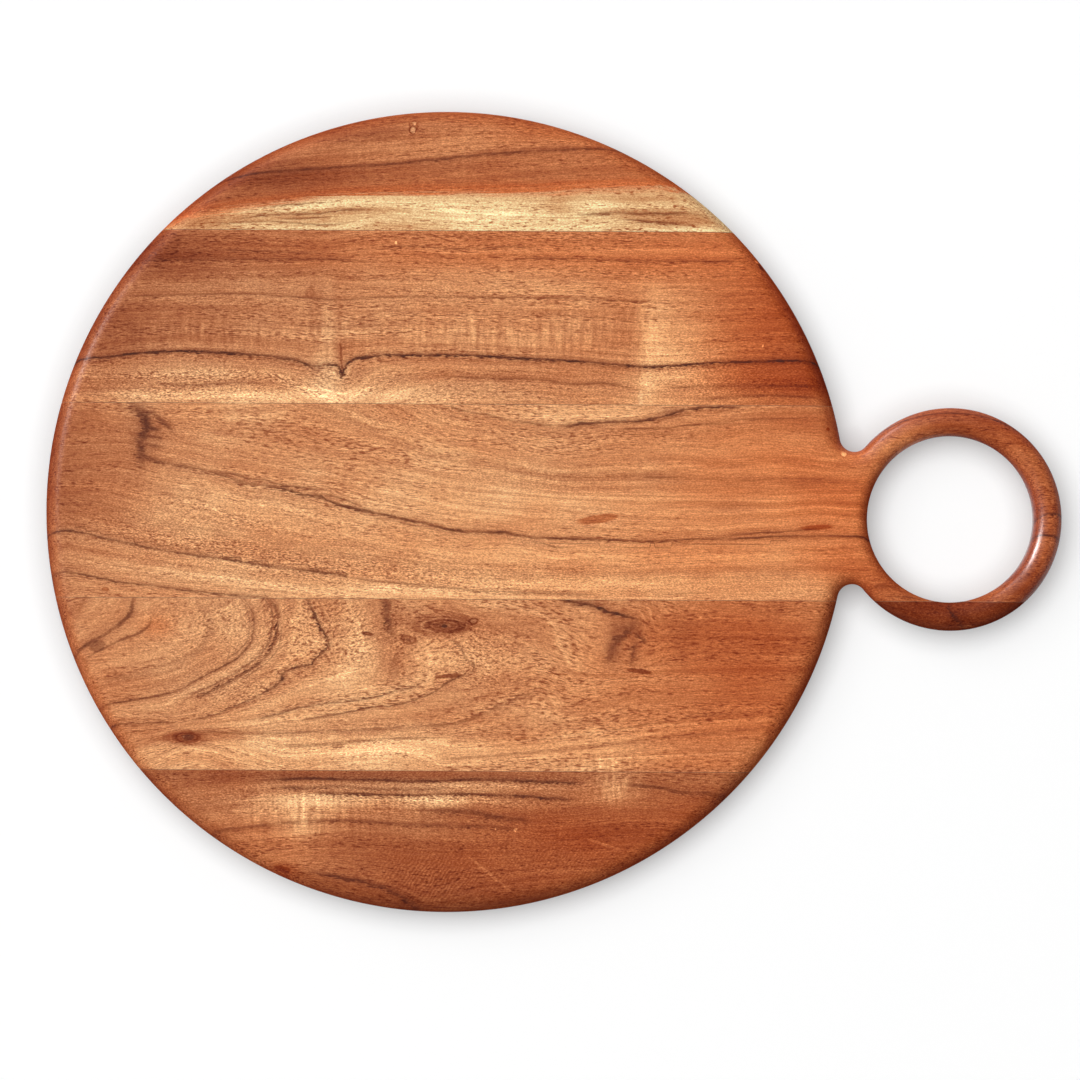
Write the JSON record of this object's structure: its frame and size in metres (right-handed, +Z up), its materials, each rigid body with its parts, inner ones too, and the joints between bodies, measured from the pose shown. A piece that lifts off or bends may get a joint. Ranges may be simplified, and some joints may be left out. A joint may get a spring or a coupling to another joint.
{
  "type": "wooden serving board",
  "caption": "Round wooden serving board of edge-glued staves with rounded edges and a ring handle for carrying or hanging.",
  "frame": {"origin": "centre of the round board, on its underside", "axes": "+X along the grain from the centre towards the ring handle, +Y across the staves, +Z up out of the serving face"},
  "size_m": [0.4832, 0.381, 0.018],
  "materials": {
    "top_wood": "oiled heartwood with a cream sapwood edge, satin",
    "upper_wood": "oiled, satin",
    "middle_wood": "oiled, satin",
    "lower_wood": "oiled, satin",
    "bottom_wood": "oiled, satin",
    "lip_wood": "oiled, satin",
    "glue": "cured wood glue"
  },
  "bodies": {
    "root": {"top_stave": "top_wood", "upper_stave": "upper_wood", "middle_stave_with_ring": "middle_wood", "lower_stave": "lower_wood", "bottom_stave": "bottom_wood", "ring_lip": "lip_wood", "glue_film_top": "glue", "glue_film_upper": "glue", "glue_film_lower": "glue", "glue_film_bottom": "glue", "glue_film_lip_inner": "glue", "glue_film_lip_outer": "glue"}
  },
  "joints": []
}
